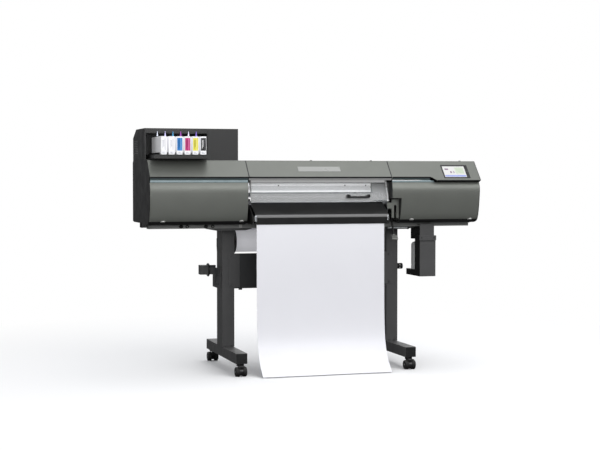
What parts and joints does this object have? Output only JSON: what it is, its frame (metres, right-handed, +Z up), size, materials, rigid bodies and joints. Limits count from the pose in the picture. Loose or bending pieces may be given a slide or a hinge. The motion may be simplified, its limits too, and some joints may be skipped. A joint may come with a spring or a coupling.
{
  "type": "wide-format printer cutter",
  "caption": "Roll-fed wide-format printer and cutter on a castered leg stand, with side ink cabinet, lifting front cover, sloped touch panel and media hanging to the floor.",
  "frame": {"origin": "on the floor, at the middle of the whole object's footprint, media curl included", "axes": "+X to the machine's right-hand end seen from the front, -Y to the front where media comes out, +Z up"},
  "size_m": [1.983, 0.8323, 1.39],
  "materials": {
    "stand_black": "satin powder coat",
    "beam_gray": "satin paint",
    "inner_black": "satin black paint",
    "steel": "brushed",
    "aluminium": "satin anodised",
    "case_black": "fine grain",
    "hood_gray": "satin metallic paint",
    "cover_gray": "satin metallic paint",
    "cabinet_black": "fine grain",
    "screen": "glossy, lit",
    "clear": "clear, glossy",
    "handle_black": "satin",
    "caster_black": "satin",
    "wheel_black": "matte",
    "pouch_white": "satin",
    "pouch_gloss": "satin",
    "pouch_cyan": "satin",
    "pouch_magenta": "satin",
    "pouch_yellow": "satin",
    "pouch_black": "satin",
    "bottle_clear": "translucent",
    "media": "smooth, slightly glossy"
  },
  "bodies": {
    "machine": {"left_foot": "stand_black", "right_foot": "stand_black", "left_column": "stand_black", "right_column": "stand_black", "column_top_plates": "stand_black", "stretcher": "stand_black", "stand_bolts": "beam_gray", "base_beam": "beam_gray", "chassis": "inner_black", "left_end_panel": "case_black", "right_end_panel": "case_black", "rear_cover": "case_black", "top_cover": "hood_gray", "left_hood": "hood_gray", "right_hood": "hood_gray", "left_front_cover": "cover_gray", "right_front_cover": "cover_gray", "cover_end_walls": "inner_black", "control_panel": "case_black", "touch_screen": "screen", "uv_shield": "inner_black", "platen": "aluminium", "lever_bracket": "steel", "guide_rail": "aluminium", "carriage_drive": "inner_black", "ink_cabinet": "cabinet_black", "bottle_holder": "stand_black", "waste_bottle": "bottle_clear", "media_hangers": "stand_black", "media_sheet": "media", "power_inlet": "case_black"},
    "front_cover": {"center_hood": "hood_gray", "clear_window": "clear", "window_handle": "handle_black"},
    "feed_roller": {"feed_roller": "steel"},
    "pinch_rollers": {"pinch_rollers": "wheel_black"},
    "loading_lever": {"loading_lever": "handle_black"},
    "print_carriage": {"print_carriage": "handle_black"},
    "cutting_carriage": {"cutting_carriage": "hood_gray"},
    "blade_holder": {"blade_holder": "steel"},
    "cap_station": {"cap_station": "handle_black"},
    "roll": {"media_roll": "media", "roll_flanges": "handle_black"},
    "power_switch": {"power_switch": "handle_black"},
    "front_left_swivel": {"front_left_caster": "caster_black"},
    "front_left_wheels": {"front_left_wheels": "wheel_black"},
    "front_left_brake": {"front_left_brake": "cover_gray"},
    "front_right_swivel": {"front_right_caster": "caster_black"},
    "front_right_wheels": {"front_right_wheels": "wheel_black"},
    "front_right_brake": {"front_right_brake": "cover_gray"},
    "rear_left_swivel": {"rear_left_caster": "caster_black"},
    "rear_left_wheels": {"rear_left_wheels": "wheel_black"},
    "rear_right_swivel": {"rear_right_caster": "caster_black"},
    "rear_right_wheels": {"rear_right_wheels": "wheel_black"},
    "ink_pouch_1": {"ink_pouch_1": "pouch_white"},
    "ink_pouch_2": {"ink_pouch_2": "pouch_gloss"},
    "ink_pouch_3": {"ink_pouch_3": "pouch_cyan"},
    "ink_pouch_4": {"ink_pouch_4": "pouch_magenta"},
    "ink_pouch_5": {"ink_pouch_5": "pouch_yellow"},
    "ink_pouch_6": {"ink_pouch_6": "pouch_black"}
  },
  "joints": [
    {"name": "front_left_swivel", "type": "hinge", "parent": "machine", "child": "front_left_swivel", "pos_m": [-0.4915, -0.287, 0.08], "axis": [0, 0, 1], "continuous": true},
    {"name": "front_left_roll", "type": "hinge", "parent": "front_left_swivel", "child": "front_left_wheels", "pos_m": [-0.4915, -0.301, 0.027], "axis": [1, 0, 0], "continuous": true},
    {"name": "front_left_brake", "type": "hinge", "parent": "front_left_swivel", "child": "front_left_brake", "pos_m": [-0.4915, -0.311, 0.056], "axis": [1, 0, 0], "range_deg": [0, 18]},
    {"name": "front_right_swivel", "type": "hinge", "parent": "machine", "child": "front_right_swivel", "pos_m": [0.5185, -0.287, 0.08], "axis": [0, 0, 1], "continuous": true},
    {"name": "front_right_roll", "type": "hinge", "parent": "front_right_swivel", "child": "front_right_wheels", "pos_m": [0.5185, -0.301, 0.027], "axis": [1, 0, 0], "continuous": true},
    {"name": "front_right_brake", "type": "hinge", "parent": "front_right_swivel", "child": "front_right_brake", "pos_m": [0.5185, -0.311, 0.056], "axis": [1, 0, 0], "range_deg": [0, 18]},
    {"name": "rear_left_swivel", "type": "hinge", "parent": "machine", "child": "rear_left_swivel", "pos_m": [-0.4915, 0.375, 0.08], "axis": [0, 0, 1], "continuous": true},
    {"name": "rear_left_roll", "type": "hinge", "parent": "rear_left_swivel", "child": "rear_left_wheels", "pos_m": [-0.4915, 0.389, 0.027], "axis": [1, 0, 0], "continuous": true},
    {"name": "rear_right_swivel", "type": "hinge", "parent": "machine", "child": "rear_right_swivel", "pos_m": [0.5185, 0.375, 0.08], "axis": [0, 0, 1], "continuous": true},
    {"name": "rear_right_roll", "type": "hinge", "parent": "rear_right_swivel", "child": "rear_right_wheels", "pos_m": [0.5185, 0.389, 0.027], "axis": [1, 0, 0], "continuous": true},
    {"name": "front_cover_hinge", "type": "hinge", "parent": "machine", "child": "front_cover", "pos_m": [0.005, -0.14, 1.196], "axis": [-1, 0, 0], "range_deg": [0, 60]},
    {"name": "roll_spin", "type": "hinge", "parent": "machine", "child": "roll", "pos_m": [0, 0.244, 0.7335], "axis": [1, 0, 0], "continuous": true},
    {"name": "feed_spin", "type": "hinge", "parent": "machine", "child": "feed_roller", "pos_m": [0, 0.02, 0.9586], "axis": [1, 0, 0], "continuous": true},
    {"name": "lever_swing", "type": "hinge", "parent": "machine", "child": "loading_lever", "pos_m": [0.471, 0.1, 1.015], "axis": [-1, 0, 0], "range_deg": [0, 12]},
    {"name": "pinch_lift", "type": "hinge", "parent": "machine", "child": "pinch_rollers", "pos_m": [0, 0.062, 1.004], "axis": [-1, 0, 0], "range_deg": [0, 8]},
    {"name": "carriage_travel", "type": "slide", "parent": "machine", "child": "print_carriage", "axis": [-1, 0, 0], "range_m": [0, 0.78]},
    {"name": "cutter_travel", "type": "slide", "parent": "machine", "child": "cutting_carriage", "axis": [-1, 0, 0], "range_m": [0, 0.78]},
    {"name": "blade_drop", "type": "slide", "parent": "cutting_carriage", "child": "blade_holder", "axis": [0, 0, -1], "range_m": [0, 0.008], "stiffness_N_per_m": 450, "springref_m": -0.01},
    {"name": "cap_lift", "type": "slide", "parent": "machine", "child": "cap_station", "axis": [0, 0, 1], "range_m": [0, 0.0075]},
    {"name": "pouch_1_slide", "type": "slide", "parent": "machine", "child": "ink_pouch_1", "axis": [0, -1, 0], "range_m": [0, 0.26]},
    {"name": "pouch_2_slide", "type": "slide", "parent": "machine", "child": "ink_pouch_2", "axis": [0, -1, 0], "range_m": [0, 0.26]},
    {"name": "pouch_3_slide", "type": "slide", "parent": "machine", "child": "ink_pouch_3", "axis": [0, -1, 0], "range_m": [0, 0.26]},
    {"name": "pouch_4_slide", "type": "slide", "parent": "machine", "child": "ink_pouch_4", "axis": [0, -1, 0], "range_m": [0, 0.26]},
    {"name": "pouch_5_slide", "type": "slide", "parent": "machine", "child": "ink_pouch_5", "axis": [0, -1, 0], "range_m": [0, 0.26]},
    {"name": "pouch_6_slide", "type": "slide", "parent": "machine", "child": "ink_pouch_6", "axis": [0, -1, 0], "range_m": [0, 0.26]},
    {"name": "power_rocker", "type": "hinge", "parent": "machine", "child": "power_switch", "pos_m": [0.8545, 0.293, 0.913], "axis": [1, 0, 0], "range_deg": [0, 12]}
  ],
  "couplings": [
    {"joint": "feed_spin", "follows": "roll_spin", "ratio": 5.5},
    {"joint": "pinch_lift", "follows": "lever_swing", "ratio": 0.6666},
    {"joint": "cutter_travel", "follows": "carriage_travel", "ratio": 1}
  ]
}
